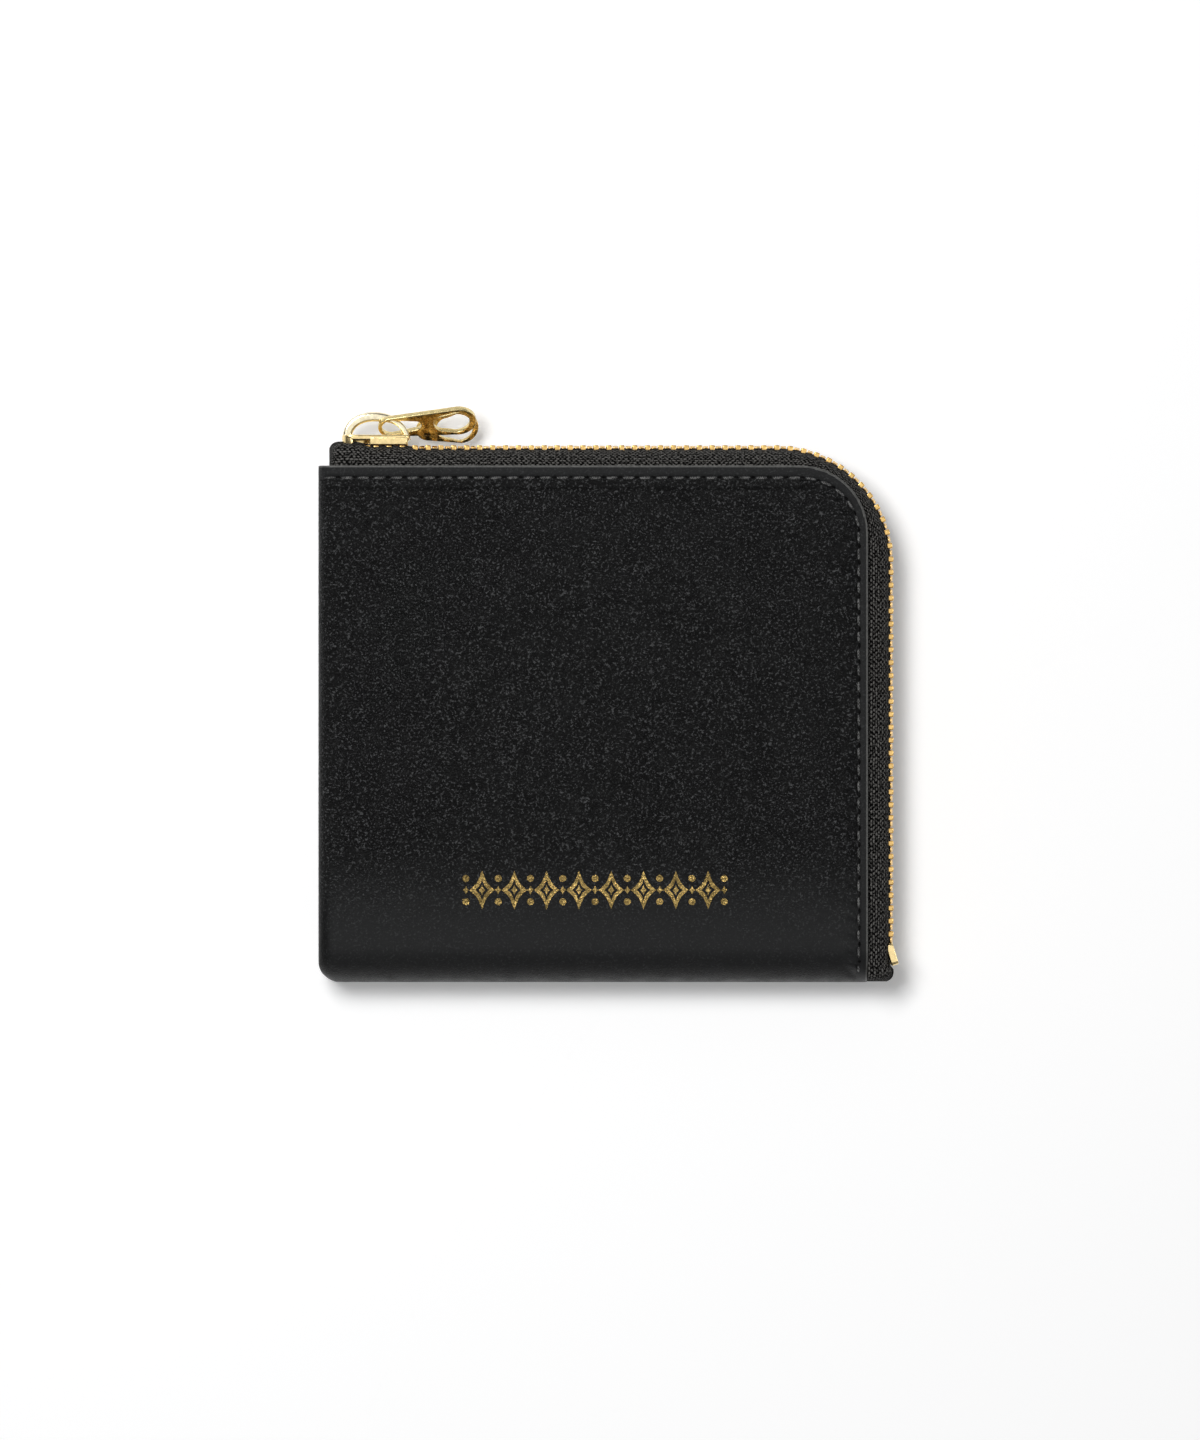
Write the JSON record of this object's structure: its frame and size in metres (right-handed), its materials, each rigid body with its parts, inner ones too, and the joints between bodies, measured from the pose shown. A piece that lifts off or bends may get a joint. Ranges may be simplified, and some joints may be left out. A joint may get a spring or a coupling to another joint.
{
  "type": "zip around wallet",
  "caption": "Small black leather wallet with an L-shaped metal zip, card pockets, a coin pocket and an open note compartment.",
  "frame": {"origin": "centre of the back panel's outer face, on the surface that the wallet rests on", "axes": "+X to the zipped side edge, +Y to the zipped long edge that carries the slider, +Z out of the front panel"},
  "size_m": [0.1101, 0.1108, 0.02],
  "materials": {
    "black_leather": "fine grained, satin",
    "pocket_leather": "smooth, matt",
    "lining_fabric": "plain weave",
    "zip_tape_fabric": "twill woven tape",
    "seam_thread": "bonded thread",
    "brass_teeth": "polished",
    "gold_plate": "polished gold plate"
  },
  "bodies": {
    "cover": {"outer_cover": "black_leather", "back_lining": "lining_fabric", "front_lining_fixed": "lining_fabric", "card_pocket_1": "pocket_leather", "card_pocket_2": "pocket_leather", "card_pocket_3": "pocket_leather", "card_pocket_4": "pocket_leather", "coin_pocket_back_wall": "pocket_leather", "coin_pocket_front_wall": "pocket_leather", "coin_gusset_left": "lining_fabric", "coin_gusset_right": "lining_fabric", "coin_pocket_floor": "lining_fabric", "back_tape": "zip_tape_fabric", "front_tape_top_end": "zip_tape_fabric", "front_tape_bottom_end": "zip_tape_fabric", "back_teeth": "brass_teeth", "front_teeth_top_end": "brass_teeth", "front_teeth_bottom_end": "brass_teeth", "top_stop_front": "brass_teeth", "top_stop_back": "brass_teeth", "bottom_stop": "gold_plate", "front_stitching_top_end": "seam_thread", "front_stitching_bottom_end": "seam_thread", "back_stitching": "seam_thread"},
    "front_flap": {"front_panel": "black_leather", "front_lining": "lining_fabric", "front_tape": "zip_tape_fabric", "front_teeth": "brass_teeth", "front_stitching": "seam_thread"},
    "slider": {"slider_body": "gold_plate", "slider_bridge": "gold_plate"},
    "pull": {"pull_front_leaf": "gold_plate", "pull_rear_leaf": "gold_plate"}
  },
  "joints": [
    {"name": "mouth_open", "type": "hinge", "parent": "cover", "child": "front_flap", "pos_m": [0.00822, 0.00822, 0.02], "axis": [0.7071, -0.7071, 0], "range_deg": [0, 40]},
    {"name": "slider_travel", "type": "slide", "parent": "cover", "child": "slider", "axis": [1, 0, 0], "range_m": [0, 0.064]},
    {"name": "pull_swing", "type": "hinge", "parent": "slider", "child": "pull", "pos_m": [-0.0402, 0.0572, 0.01], "axis": [0, 0, 1], "range_deg": [0, 150]}
  ]
}
